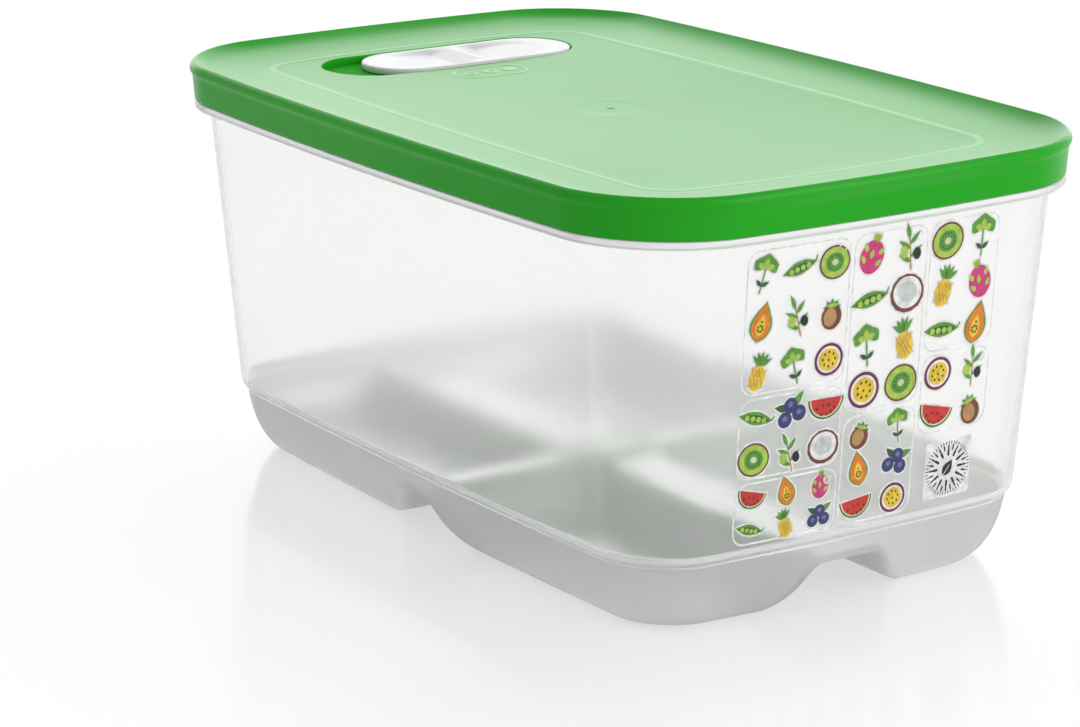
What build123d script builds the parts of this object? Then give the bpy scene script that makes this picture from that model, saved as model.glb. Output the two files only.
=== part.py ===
from build123d import *
import os

# Produce keeper: a clear tub with a frosted, four-footed base, a soft lid that presses
# over its rim, and a slider in the lid that opens and closes the vent holes.
# Millimetres. The origin is on the surface the feet stand on, in the middle of the tub.
# The long side runs along X, the vent lies near the -X end of the lid and slides along Y.

# Lid, overall
lid_length = 289.0
lid_width = 183.6
lid_corner = 38.0
lid_top = 133.4
lid_bow_x = 3.7
lid_bow_y = 4.7

# Lid, section
lip_overhang = 1.5
lip_height = 2.0
lip_rounding = 0.8
skirt_height = 12.7
skirt_wall = 1.8
plug_wall = 1.8
plug_height = 8.5
plate_thickness = 2.0
plate_recess = 4.2
rim_crest_width = 1.6
rim_slope_width = 11.4
stack_line_inset_x = 25.5
stack_line_inset_y = 28.4
stack_line_corner = 21.0
stack_line_bow = 1.2
stack_line_bead = 1.4
stack_line_height = 0.5

# Tub
mouth_inset = 8.5
mouth_corner = 25.0
wall_bow_x = 3.3
wall_bow_y = 2.4
wall_taper = 7.2
wall_thickness = 1.9
step_corner = 22.5
step_height = 21.4
step_inset = 1.5
step_rounding = 2.9
base_taper = 4.5
foot_rounding = 7.0
flange_thickness = 1.5
flange_rounding = 0.5
flange_gap = 0.2
rim_thickness = 2.0
rim_rounding = 0.8
fit_gap = 0.3

# The two channels that cross under the base and leave four feet
channel_height = 14.5
channel_rounding = 4.0
cross_channel_top = 15.0
cross_channel_foot = 39.0
long_channel_top = 24.0
long_channel_foot = 43.0

# Vent pocket in the lid
vent_from_edge = 49.2
pocket_length = 94.0
pocket_width = 32.5
pocket_depth = 2.2
pocket_floor = 1.6
pocket_wall = 1.8
vent_hole = 3.0
vent_hole_pitch = 5.5
outer_row_from_end = 5.6
outer_row_holes = 3
inner_row_from_end = 11.5
inner_row_holes = 4

# Vent slider
slider_length = 78.4
slider_clearance = 0.4
slider_float = 0.3
slider_sink = 0.1
scoop_length = 25.0
scoop_width = 22.0
scoop_depth = 1.0
ridge_width = 1.6
scoop_wall = 5.0
leg_spacing = 36.0
leg_width = 5.0
leg_thickness = 3.0
leg_gap = 0.3
barb_overhang = 1.2
barb_height = 1.3
slider_rounding = 0.3
pad_recess = 0.9
pad_float = 0.1
pad_margin = 1.6
pad_overlap = 1.0
pad_clearance = 0.1

# Raised legend beside the slider: full, half and empty rounds inside an oval
legend_from_pocket = 12.0
legend_width = 14.0
legend_margin = 3.0
legend_line = 0.8
legend_height = 0.35
legend_round = 5.4


def outline(length, width, bow_x, bow_y, corner, height):
    """Flat face at a height: four sides that bow outwards, joined by rounded corners."""
    mid_x = length / 2
    mid_y = width / 2
    x = mid_x - bow_x
    y = mid_y - bow_y
    sides = [
        ThreePointArc((x, -y), (mid_x, 0), (x, y)),
        ThreePointArc((x, y), (0, mid_y), (-x, y)),
        ThreePointArc((-x, y), (-mid_x, 0), (-x, -y)),
        ThreePointArc((-x, -y), (0, -mid_y), (x, -y)),
    ]
    face = make_face(Curve() + sides)
    return Pos(0, 0, height) * fillet(face.vertices(), corner)


def lid_outline(inset, height):
    """Outline of the lid lip, moved inwards by an inset."""
    length = lid_length - 2 * inset
    width = lid_width - 2 * inset
    return outline(length, width, lid_bow_x, lid_bow_y, lid_corner - inset, height)


def wall_outline(corner, inset, height):
    """Outline of the tub wall, given how far it lies inside the lid lip."""
    length = lid_length - 2 * inset
    width = lid_width - 2 * inset
    return outline(length, width, wall_bow_x, wall_bow_y, corner, height)


def block(face, top):
    """Straight block from a flat face up to a height."""
    return extrude(face, amount=top - face.center().Z)


def slot_block(length, width, bottom, top):
    """Upright block with round ends, its length along Y, over the vent centre."""
    shape = SlotOverall(length, width, rotation=90)
    return Pos(vent_x, 0, bottom) * extrude(shape, amount=top - bottom)


# Levels and places that follow from the sizes above
skirt_bottom = lid_top - skirt_height
lip_bottom = lid_top - lip_height
plate_top = lid_top - plate_recess
plate_bottom = plate_top - plate_thickness
crest_inset = rim_crest_width
slope_foot_inset = rim_crest_width + rim_slope_width
skirt_outer_inset = lip_overhang
skirt_inner_inset = skirt_outer_inset + skirt_wall
rim_outer_inset = skirt_inner_inset + fit_gap
rim_inner_inset = rim_outer_inset + rim_thickness
plug_outer_inset = rim_inner_inset + fit_gap
plug_inner_inset = plug_outer_inset + plug_wall
groove_share = (slope_foot_inset - rim_inner_inset) / rim_slope_width
groove_top = plate_top + plate_recess * groove_share - plate_thickness
plug_bottom = groove_top - plug_height
rim_top = groove_top - fit_gap
flange_top = skirt_bottom - flange_gap
flange_bottom = flange_top - flange_thickness
step_wall_inset = mouth_inset + wall_taper
base_inset = step_wall_inset + step_inset
foot_inset = base_inset + base_taper
vent_x = vent_from_edge - lid_length / 2
floor_top = plate_top - pocket_depth
floor_bottom = floor_top - pocket_floor
slider_travel = pocket_length - slider_length - 2 * slider_clearance
slider_width = pocket_width - 2 * slider_clearance
slider_bottom = floor_top + slider_float
slider_top = plate_top - slider_sink
slider_y = slider_travel / 2
slider_end = slider_length / 2


def channel(top_width, foot_width, depth, turn):
    """Bar with a rounded trapezium section, as long as the lid, that rises into the base."""
    grow = depth - channel_height
    section = Polyline(
        (-foot_width / 2 - grow, 0),
        (-top_width / 2 - grow, depth),
        (top_width / 2 + grow, depth),
        (foot_width / 2 + grow, 0),
        close=True,
    )
    bar = extrude(Plane.XZ * make_face(section), amount=lid_length / 2, both=True)
    bar = fillet(bar.edges().filter_by(Axis.Y).group_by(Axis.Z)[-1], channel_rounding + grow)
    return Rot(0, 0, turn) * bar


def channels(depth):
    """Both channels: one along Y under the middle, one along X."""
    across = channel(cross_channel_top, cross_channel_foot, depth, 0)
    along = channel(long_channel_top, long_channel_foot, depth, 90)
    return across + along


def base_block(thickness):
    """Tapered block of the base; the thickness moves every side of it inwards."""
    top = wall_outline(step_corner - step_inset - thickness, base_inset + thickness,
                       step_height + thickness)
    foot = wall_outline(step_corner - step_inset - thickness, foot_inset + thickness, thickness)
    block_of_base = loft([foot, top])
    feet = block_of_base - channels(channel_height + thickness)
    loops = feet.faces().filter_by(Plane.XY).group_by(Axis.Z)[0].edges()
    return fillet(loops, foot_rounding - thickness)


def container_tub():
    """One clear moulding: feet, step, tapering wall, flange and sealing rim."""
    wall_foot = wall_outline(step_corner, step_wall_inset, step_height)
    wall_head = wall_outline(mouth_corner, mouth_inset, flange_top)
    outside = loft([wall_foot, wall_head])
    outside = fillet(outside.edges().group_by(Axis.Z)[0], step_rounding)
    outside += base_block(0)

    floor = step_height + wall_thickness
    hollow_foot = wall_outline(step_corner - wall_thickness, step_wall_inset + wall_thickness, floor)
    hollow_head = wall_outline(mouth_corner - wall_thickness, mouth_inset + wall_thickness, flange_top)
    hollow = loft([hollow_foot, hollow_head])

    flange = block(lid_outline(skirt_outer_inset, flange_bottom), flange_top)
    flange_edges = flange.edges().group_by(Axis.Z)
    flange = fillet(flange_edges[0] + flange_edges[-1], flange_rounding)
    rim = block(lid_outline(rim_outer_inset, flange_bottom), rim_top)
    rim -= block(lid_outline(rim_inner_inset, flange_top), rim_top)
    rim = fillet(rim.edges().group_by(Axis.Z)[-1], rim_rounding)
    return outside + flange + rim - hollow - base_block(wall_thickness)


def round_at(x, y, radius, bottom, top):
    """Upright round bar at a place on the lid."""
    return Pos(x, y, bottom) * extrude(Circle(radius), amount=top - bottom)


def vent_holes():
    """Two rows of holes near the +Y end of the pocket: half open bares the outer row only."""
    holes = []
    rows = ((outer_row_from_end, outer_row_holes), (inner_row_from_end, inner_row_holes))
    for from_end, count in rows:
        y = pocket_length / 2 - from_end
        for number in range(count):
            x = vent_x + (number - (count - 1) / 2) * vent_hole_pitch
            holes.append(round_at(x, y, vent_hole / 2, floor_bottom, floor_top))
    return holes


def leg_slots():
    """Two slots in the pocket floor that guide the legs of the slider."""
    length = leg_thickness + slider_travel + 2 * leg_gap
    width = leg_width + 2 * leg_gap
    slot = extrude(Rectangle(width, length), amount=pocket_floor)
    return [Pos(vent_x, side * leg_spacing / 2, floor_bottom) * slot for side in (-1, 1)]


def legend():
    """Oval with three rounds that the ridge of the slider points at: open, half open, closed."""
    x = vent_x + pocket_width / 2 + legend_from_pocket
    top = plate_top + legend_height
    length = slider_travel + legend_round + 2 * legend_margin
    oval = SlotOverall(length, legend_width, rotation=90)
    oval -= SlotOverall(length - 2 * legend_line, legend_width - 2 * legend_line, rotation=90)
    marks = [Pos(x, 0, plate_top) * extrude(oval, amount=legend_height)]
    radius = legend_round / 2
    for step in (-1, 0, 1):
        y = step * slider_travel / 2
        disc = round_at(x, y, radius, plate_top, top)
        hollow = round_at(x, y, radius - legend_line, plate_top, top)
        if step == 0:
            half = extrude(Rectangle(legend_round, legend_round), amount=legend_height)
            hollow -= Pos(x, y + radius, plate_top) * half
        if step < 1:
            disc -= hollow
        marks.append(disc)
    return marks


def stack_line(inset):
    """Outline of the raised line that frames the feet of a keeper stacked on top."""
    length = lid_length - 2 * (stack_line_inset_x + inset)
    width = lid_width - 2 * (stack_line_inset_y + inset)
    corner = stack_line_corner - inset
    return outline(length, width, stack_line_bow, stack_line_bow, corner, plate_top)


def lid():
    """Soft one-piece lid: lip, skirt, plug, dished plate, vent pocket and raised legend."""
    skirt = block(lid_outline(skirt_outer_inset, skirt_bottom), lip_bottom)
    lip = block(lid_outline(0, lip_bottom), lid_top)
    lip_edges = lip.edges().group_by(Axis.Z)
    lip = fillet(lip_edges[0] + lip_edges[-1], lip_rounding)
    recess = loft([lid_outline(slope_foot_inset, plate_top), lid_outline(crest_inset, lid_top)])

    below_plug = block(lid_outline(skirt_inner_inset, skirt_bottom), plug_bottom)
    groove = block(lid_outline(skirt_inner_inset, plug_bottom), groove_top)
    groove -= block(lid_outline(plug_outer_inset, plug_bottom), groove_top)
    roof_share = (slope_foot_inset - plug_inner_inset) / rim_slope_width
    roof_edge = plate_bottom + plate_recess * roof_share
    under = block(lid_outline(plug_inner_inset, plug_bottom), roof_edge)
    under -= loft([lid_outline(slope_foot_inset, plate_bottom), lid_outline(plug_inner_inset, roof_edge)])
    shell = skirt + lip - recess - below_plug - groove - under

    bead = extrude(stack_line(0) - stack_line(stack_line_bead), amount=stack_line_height)

    tray_length = pocket_length + 2 * pocket_wall
    tray_width = pocket_width + 2 * pocket_wall
    tray = slot_block(tray_length, tray_width, floor_bottom, plate_bottom)
    shell = shell + tray + bead
    shell -= slot_block(pocket_length, pocket_width, floor_top, plate_top)
    shell = shell - vent_holes() - leg_slots()
    return shell + legend()


def on_slider(shape):
    """Move a shape drawn about the slider's own middle to where the slider rests."""
    return Pos(vent_x, slider_y, 0) * shape


def scoops():
    """Two finger scoops, each deep beside the middle ridge and fading out along the slider."""
    near = ridge_width / 2
    wedge = Polyline(
        (near, slider_top),
        (near + scoop_wall, slider_top - scoop_depth),
        (near + scoop_length, slider_top),
        close=True,
    )
    cut = extrude(Plane.YZ * make_face(wedge), amount=scoop_width / 2, both=True)
    plan = SlotOverall(ridge_width + 2 * scoop_length, scoop_width, rotation=90)
    plan = Pos(0, 0, slider_top - scoop_depth) * extrude(plan, amount=scoop_depth)
    cut = cut & plan
    return [on_slider(cut), on_slider(Rot(0, 0, 180) * cut)]


def pad_shape(clearance, bottom, top):
    """Block with one round end that follows the slider's end and covers the vent holes."""
    covered_from = pocket_length / 2 - inner_row_from_end - vent_hole / 2 - pad_overlap
    start = covered_from - slider_y
    radius = slider_width / 2 - pad_margin
    middle = slider_end - slider_width / 2
    plan = Pos(0, middle) * Circle(radius)
    plan += Pos(0, middle / 2) * Rectangle(2 * radius, middle)
    plan = offset(plan, -clearance)
    keep = Pos(0, start + clearance + slider_length) * Rectangle(slider_length, 2 * slider_length)
    plan = plan & keep
    return on_slider(Pos(0, 0, bottom) * extrude(plan, amount=top - bottom))


def vent_slider():
    """White slider: round-ended plate with scoops, two barbed legs and a seat for the pad."""
    plate = SlotOverall(slider_length, slider_width, rotation=90)
    plate = on_slider(Pos(0, 0, slider_bottom) * extrude(plate, amount=slider_top - slider_bottom))
    plate = fillet(plate.edges().group_by(Axis.Z)[-1], slider_rounding)
    plate = plate - scoops() - pad_shape(0, slider_bottom, slider_bottom + pad_recess)
    barb_top = floor_bottom - leg_gap
    barb_bottom = barb_top - barb_height
    for side in (-1, 1):
        leg = extrude(Rectangle(leg_width, leg_thickness), amount=slider_bottom - barb_bottom)
        barb = extrude(Rectangle(leg_width + 2 * barb_overhang, leg_thickness), amount=barb_height)
        plate += on_slider(Pos(0, side * leg_spacing / 2, barb_bottom) * (leg + barb))
    return plate


def vent_seal_pad():
    """Soft pad under the slider that closes the vent holes."""
    return pad_shape(pad_clearance, floor_top + pad_float, slider_bottom + pad_recess)


os.makedirs("parts", exist_ok=True)
pieces = {
    "container_tub": container_tub(),
    "lid": lid(),
    "vent_slider": vent_slider(),
    "vent_seal_pad": vent_seal_pad(),
}
for name, piece in pieces.items():
    export_step(piece, f"parts/{name}.step")
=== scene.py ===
from math import pi

import bmesh
import bpy
import numpy as np
from mathutils import Matrix, Vector


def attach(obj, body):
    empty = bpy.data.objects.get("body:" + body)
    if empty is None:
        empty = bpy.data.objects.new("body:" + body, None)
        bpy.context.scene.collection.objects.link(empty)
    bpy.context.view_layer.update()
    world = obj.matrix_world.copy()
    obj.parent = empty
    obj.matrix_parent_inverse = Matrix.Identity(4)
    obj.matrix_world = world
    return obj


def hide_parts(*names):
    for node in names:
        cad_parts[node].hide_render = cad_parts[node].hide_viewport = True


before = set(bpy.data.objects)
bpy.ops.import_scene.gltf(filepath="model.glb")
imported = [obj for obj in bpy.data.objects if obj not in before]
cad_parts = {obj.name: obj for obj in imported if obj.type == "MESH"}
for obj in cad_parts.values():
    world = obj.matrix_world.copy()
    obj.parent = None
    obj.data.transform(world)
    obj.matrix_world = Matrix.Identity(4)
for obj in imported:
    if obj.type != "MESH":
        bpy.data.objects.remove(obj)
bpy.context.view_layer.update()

mm = 0.001


# Camera
# The photograph looks down a little on the keeper's near corner, with its printed
# short side on the right and its long side on the left. Angles, distance and focal
# length were fitted to the keeper's outlines, with the focal length in pixels.
picture_width = 1080
picture_height = 727
camera_turn = np.radians(56.745)
camera_rise = np.radians(15.639)
camera_roll = np.radians(-0.255)
camera_distance = 1112.3 * mm
camera_target = np.array([-10.05, -17.78, 45.46]) * mm
focal_pixels = 3472.4
axis_pixel_x = 544.13
axis_pixel_y = 361.58
sensor_width = 36.0
far_clip = 100


def in_scene(name, data):
    """Object at the scene's origin for a mesh, a camera or a lamp."""
    item = bpy.data.objects.new(name, data)
    bpy.context.scene.collection.objects.link(item)
    return item


look_back = np.array([
    np.sin(camera_turn) * np.cos(camera_rise),
    -np.cos(camera_turn) * np.cos(camera_rise),
    np.sin(camera_rise),
])
level_right = np.array([np.cos(camera_turn), np.sin(camera_turn), 0.0])
level_up = np.cross(look_back, level_right)
right = np.cos(camera_roll) * level_right + np.sin(camera_roll) * level_up
up = np.cos(camera_roll) * level_up - np.sin(camera_roll) * level_right
place = camera_target + look_back * camera_distance

camera_data = bpy.data.cameras.new("camera")
camera_data.sensor_width = sensor_width
camera_data.lens = focal_pixels * sensor_width / picture_width
camera_data.shift_x = (picture_width / 2 - axis_pixel_x) / picture_width
camera_data.shift_y = (axis_pixel_y - picture_height / 2) / picture_width
camera_data.clip_end = far_clip
camera = in_scene("camera", camera_data)
turned = Matrix((right, up, look_back)).transposed().to_4x4()
camera.matrix_world = Matrix.Translation(place) @ turned
bpy.context.scene.camera = camera


# Tub
# One clear polypropylene moulding, 1.9 mm thick, with its base frosted in the mould.
# A flange carries the lid, a rim stands up inside it, and two channels under the base
# leave four feet.
lip_half_x = 144.46 * mm
lip_half_y = 91.76 * mm
lip_corner = 36.0 * mm
lip_bow = np.array([4.5, 4.5]) * mm
wall_bow = np.array([3.3, 2.4]) * mm
wall_thickness = 1.9 * mm
mouth_corner = 26.5 * mm
step_corner = 22.5 * mm
foot_corner = 21.0 * mm

flange_top = 120.9 * mm
flange_bottom = 118.4 * mm
flange_inset = 1.5 * mm
rim_top = 129.6 * mm
rim_outer_inset = 3.6 * mm
rim_inner_inset = 5.6 * mm
rim_middle_inset = (rim_outer_inset + rim_inner_inset) / 2
mouth_inset = 8.5 * mm
step_top = 23.9 * mm
step_top_inset = 15.4 * mm
step_bottom = 21.3 * mm
step_bottom_inset = 17.4 * mm
inner_step_rise = 0.6 * mm
foot_top = step_bottom - 1.2 * mm
foot_bend = np.array([19.4, 3.5]) * mm
contact_inset = 27.4 * mm
contact_corner = 17.0 * mm

channel_height = 14.5 * mm
cross_channel_top = 7.5 * mm
cross_channel_foot = 19.5 * mm
long_channel_top = 12.0 * mm
long_channel_foot = 21.5 * mm
channel_rounding = 5.0 * mm
channel_edge = 2.0 * mm
channel_foot_rounding = 7.0 * mm
weld_distance = 2e-6

# The painted edge highlight, a whiter and milkier plastic that stands in for light seen along
# the wall's thickness, reaches this far below the flange and from the two edges of the step, and a
# face whose normal points further down than the slope is part of the underside.
flange_edge = 0.4 * mm
step_top_edge = 0.9 * mm
step_bottom_edge = 0.35 * mm
underside_slope = -0.2


def around_outline(long_side, short_side, corner, crowding):
    """Directions for the points around an outline: columns along_x, along_y, round_x, round_y.

    A point is at x = along_x (a - r) + round_x r and y = along_y (b - r) + round_y r, for half
    sizes a and b and corner radius r. Sides run from -1 to 1 and crowd towards their middles.
    """
    def side(count):
        """Places t (c + (1 - c) t^2) along a side, with the crowding c and t from -1 to 1."""
        t = np.linspace(-1, 1, count + 1)[:-1]
        return t * (crowding + (1 - crowding) * t**2)

    angle = np.linspace(0, pi / 2, corner + 1)[:-1]
    cos, sin = np.cos(angle), np.sin(angle)
    one_corner, short, long = np.ones(corner), side(short_side), side(long_side)
    one_short, one_long = np.ones(short_side), np.ones(long_side)
    parts = [
        (one_short, short, one_short, 0 * short),
        (one_corner, one_corner, cos, sin),
        (-long, one_long, 0 * long, one_long),
        (-one_corner, one_corner, -sin, cos),
        (-one_short, -short, -one_short, 0 * short),
        (-one_corner, -one_corner, -cos, -sin),
        (long, -one_long, 0 * long, -one_long),
        (one_corner, -one_corner, sin, -cos),
    ]
    return np.concatenate([np.stack(part, axis=1) for part in parts])


def outlines(directions, half_x, half_y, corner, bow_x, bow_y, height):
    """Rows of outlines: rounded rectangles whose sides bow outwards, one row per array value.

    Before the bow, half sizes are a = half_x - bow_x and b = half_y - bow_y. The bow moves x by
    bow_x (1 - (y / b)^2) at the side, and in proportion inside it, and y likewise.
    """
    a = np.maximum(half_x - bow_x, 1e-9)[:, None]
    b = np.maximum(half_y - bow_y, 1e-9)[:, None]
    r = corner[:, None]
    along_x, along_y, round_x, round_y = directions.T
    x = along_x * (a - r) + round_x * r
    y = along_y * (b - r) + round_y * r
    bowed_x = x * (1 + bow_x[:, None] / a * (1 - (y / b)**2))
    bowed_y = y * (1 + bow_y[:, None] / b * (1 - (x / a)**2))
    z = np.broadcast_to(height[:, None], x.shape)
    return np.stack([bowed_x, bowed_y, z], axis=-1)


def rounded_profile(points, setbacks, steps, bend_steps=6):
    """Polyline through the points with each inner corner replaced by a parabola.

    The parabola starts and ends one setback before and after the corner. The first two columns
    are the plane of the profile, and any further columns run along with them.
    """
    points = np.array(points, float)
    move = np.diff(points, axis=0)
    length = np.hypot(move[:, 0], move[:, 1])[:, None]
    setbacks = np.concatenate([[0], setbacks, [0]])[:, None]
    leave = points[:-1] + move * (setbacks[:-1] / length)
    arrive = points[1:] - move * (setbacks[1:] / length)
    rows = []
    for number, count in enumerate(steps):
        t = np.linspace(0, 1, count + 1)[:, None]
        rows.append(leave[number] * (1 - t) + arrive[number] * t)
        if number < len(steps) - 1:
            t = np.linspace(0, 1, bend_steps + 1)[1:-1, None]
            before, after = arrive[number], leave[number + 1]
            rows.append(before * (1 - t)**2 + 2 * points[number + 1] * t * (1 - t) + after * t**2)
    return np.concatenate(rows)


def parabola(start, bend, end, steps):
    """Rows of a profile from a start towards a bend and round to an end, without the start row:
    start (1 - t)^2 + 2 bend t (1 - t) + end t^2."""
    t = np.linspace(0, 1, steps + 1)[1:, None]
    return np.array(start) * (1 - t)**2 + 2 * np.array(bend) * t * (1 - t) + np.array(end) * t**2


def smooth_max(a, b, blend):
    """The larger of two heights, with a parabola over the crease where they are within blend."""
    near = np.maximum(blend - np.abs(a - b), 0) / blend
    return np.maximum(a, b) + near**2 * blend / 4


def skin(name, rows, closed=False):
    """Mesh of quads over a grid of points (row, around, xyz), closed around and, if asked, from the
    last row to the first. Points that coincide are merged and the faces are turned outwards."""
    count, around = rows.shape[:2]
    index = np.arange(count * around).reshape(count, around)
    if closed:
        index = np.concatenate([index, index[:1]])
    following = np.roll(index, -1, axis=1)
    quads = np.stack([index[:-1], following[:-1], following[1:], index[1:]], axis=-1).reshape(-1, 4)
    mesh = bpy.data.meshes.new(name)
    mesh.from_pydata(rows.reshape(-1, 3), [], quads)
    work = bmesh.new()
    work.from_mesh(mesh)
    bmesh.ops.remove_doubles(work, verts=work.verts, dist=weld_distance)
    bmesh.ops.recalc_face_normals(work, faces=work.faces)
    work.to_mesh(mesh)
    work.free()
    mesh.shade_smooth()
    return in_scene(name, mesh)


def channel_height_at(x, y, thickness):
    """Height of the channels' surface, moved along its normal by a thickness.

    Each channel is a flank that rises towards its middle line, capped at the channel's height,
    and the two are joined by the larger of them.
    """
    def channel(distance, top, foot):
        """Height over the distance from one channel's middle line."""
        slope = channel_height / (foot - top)
        flank = (foot - np.abs(distance)) * slope + thickness * np.sqrt(1 + slope**2)
        return -smooth_max(-flank, -(channel_height + thickness), channel_rounding)

    cross = channel(x, cross_channel_top, cross_channel_foot)
    along = channel(y, long_channel_top, long_channel_foot)
    return smooth_max(cross, along, channel_rounding)


def lid_family(inset, height):
    """Profile point of an outline parallel to the lid's lip: inset, height, wall share 0, corner."""
    return inset, height, 0.0, lip_corner - inset


def wall_family(inset, height, corner):
    """Profile point of an outline of the tub wall: inset, height, wall share 1, corner."""
    return inset, height, 1.0, corner


def carried(profile, directions):
    """Carries a profile of inset, height, wall share and corner around the outline.

    Half sizes are the lip's less the inset, and the bow goes from the lip's to the wall's.
    """
    inset, height, share, corner = profile.T
    bow = lip_bow[:, None] * (1 - share) + wall_bow[:, None] * share
    half_x, half_y = lip_half_x - inset, lip_half_y - inset
    return outlines(directions, half_x, half_y, corner, bow[0], bow[1], height)


def floor_rings(directions, inset, corner, height, far_rings, near_rings):
    """Rings that close a floor, from its outer outline to the line where it collapses.

    A ring at a depth has its half sizes and corner less the depth, and a bow that fades with it.
    """
    reach = lip_half_y - inset - wall_bow[1]
    crowded = 25 * mm
    depth = np.concatenate([
        np.linspace(0, reach - crowded, far_rings)[1:],
        np.linspace(reach - crowded, reach, near_rings)[1:],
    ])
    fade = 1 - depth / reach
    half_x = lip_half_x - inset - wall_bow[0] - depth + wall_bow[0] * fade
    half_y = reach - depth + wall_bow[1] * fade
    corner = np.maximum(corner - depth, 0)
    level = np.full(len(depth), height)
    return outlines(directions, half_x, half_y, corner, wall_bow[0] * fade, wall_bow[1] * fade, level)


tub_directions = around_outline(long_side=100, short_side=68, corner=30, crowding=0.5)
foot_curve = parabola(
    wall_family(contact_inset, 0, contact_corner),
    wall_family(foot_bend[0], foot_bend[1], foot_corner),
    wall_family(step_bottom_inset, foot_top, foot_corner),
    steps=24,
)
wall_profile = rounded_profile(
    [
        wall_family(step_bottom_inset, foot_top, foot_corner),
        wall_family(step_bottom_inset, step_bottom, foot_corner),
        wall_family(step_top_inset, step_top, step_corner),
        wall_family(mouth_inset, flange_bottom, mouth_corner),
        lid_family(flange_inset, flange_bottom),
        lid_family(flange_inset, flange_top),
        lid_family(rim_outer_inset, flange_top),
        lid_family(rim_outer_inset, rim_top),
        lid_family(rim_middle_inset, rim_top),
    ],
    setbacks=np.array([0.8, 1.1, 1.0, 0.5, 0.5, 0.3, 0.95]) * mm,
    steps=(1, 2, 8, 2, 1, 1, 2, 1),
)
outer_profile = np.concatenate([foot_curve, wall_profile[1:]])


def inner_wall(inset, height, corner):
    """Profile point of the wall's inside: one wall thickness in from the outside."""
    return wall_family(inset + wall_thickness, height, corner - wall_thickness)


inner_profile = rounded_profile(
    [
        lid_family(rim_middle_inset, rim_top),
        lid_family(rim_inner_inset, rim_top),
        lid_family(rim_inner_inset, flange_top),
        inner_wall(mouth_inset, flange_top, mouth_corner),
        inner_wall(step_top_inset, step_top + inner_step_rise, step_corner),
        inner_wall(step_bottom_inset, step_bottom + inner_step_rise, foot_corner),
        inner_wall(step_bottom_inset, foot_top, foot_corner),
    ],
    setbacks=np.array([0.95, 0.3, 0.6, 1.1, 0.6]) * mm,
    steps=(1, 2, 2, 8, 2, 1),
)
inner_foot = parabola(
    inner_wall(step_bottom_inset, foot_top, foot_corner),
    inner_wall(foot_bend[0], foot_bend[1] + wall_thickness, foot_corner),
    wall_family(contact_inset, wall_thickness, contact_corner),
    steps=22,
)
inner_profile = np.concatenate([inner_profile, inner_foot])
floors = [
    floor_rings(tub_directions, contact_inset, contact_corner, height, far_rings=13, near_rings=22)
    for height in (0, wall_thickness)
]
outer_rows = np.concatenate([floors[0][::-1], carried(outer_profile, tub_directions)])
inner_rows = np.concatenate([carried(inner_profile, tub_directions)[1:], floors[1]])
# The channels lift the rows below the step, and their edge gets rounder towards the floor.
for rows, thickness in ((outer_rows, 0), (inner_rows, wall_thickness)):
    x, y, z = np.moveaxis(rows, -1, 0)
    near_floor = np.clip(1 - z / channel_foot_rounding, 0, 1)
    blend = channel_edge + (channel_foot_rounding - channel_edge) * near_floor
    lifted = smooth_max(z, channel_height_at(x, y, thickness), blend)
    rows[..., 2] = np.where(z < step_bottom, lifted, z)
tub = skin("tub_shell", np.concatenate([outer_rows, inner_rows]))


def node_tools(tree):
    """Empties a node tree, and gives a function that links its sockets and one that adds nodes."""
    tree.nodes.clear()

    def add(kind, **settings):
        """Node of a kind, with its settings by name."""
        node = tree.nodes.new("ShaderNode" + kind)
        for key, value in settings.items():
            setattr(node, key, value)
        return node

    return tree.links.new, add


def new_material(name):
    """Material with an empty node tree, and the tree's two tools."""
    material = bpy.data.materials.new(name)
    material.use_nodes = True
    return material, *node_tools(material.node_tree)


def to_surface(link, add, shader):
    """Leads a shader to the material's surface."""
    link(shader, add("OutputMaterial").inputs["Surface"])


def set_inputs(node, **values):
    """Sets a node's inputs by name, with spaces written as underscores."""
    for key, value in values.items():
        node.inputs[key.replace("_", " ")].default_value = value


def noise_share(link, add, scale, detail, roughness=0.5):
    """Noise between 0 and 1 over the piece's object coordinates."""
    noise = add("TexNoise")
    set_inputs(noise, Scale=scale, Detail=detail, Roughness=roughness)
    link(add("TexCoord").outputs["Object"], noise.inputs["Vector"])
    return noise.outputs["Fac"]


def bump_of(link, add, height, strength, distance):
    """Bump whose height is a share of the distance."""
    bump = add("Bump")
    set_inputs(bump, Strength=strength, Distance=distance)
    link(height, bump.inputs["Height"])
    return bump


def moulded_bump(link, add, scale, strength, distance):
    """Faint unevenness of a moulded surface: the bump of a noise."""
    height = noise_share(link, add, scale, detail=3.0, roughness=0.55)
    return bump_of(link, add, height, strength, distance)


def clear_plastic(name, tint, clearness, roughness, grain_scale, grain_strength, shade):
    """Moulded plastic that lets light through: glass with a milky share, open to shadow rays."""
    material, link, add = new_material(name)
    body = add("BsdfPrincipled")
    set_inputs(body, Base_Color=tint, Roughness=roughness, IOR=1.49, Transmission_Weight=clearness)
    bump = moulded_bump(link, add, grain_scale, grain_strength, distance=0.02 * mm)
    link(bump.outputs["Normal"], body.inputs["Normal"])
    open_air = add("BsdfTransparent")
    set_inputs(open_air, Color=shade)
    path = add("LightPath")
    mix = add("MixShader")
    link(path.outputs["Is Shadow Ray"], mix.inputs["Fac"])
    link(body.outputs["BSDF"], mix.inputs[1])
    link(open_air.outputs["BSDF"], mix.inputs[2])
    to_surface(link, add, mix.outputs["Shader"])
    return material


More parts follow.
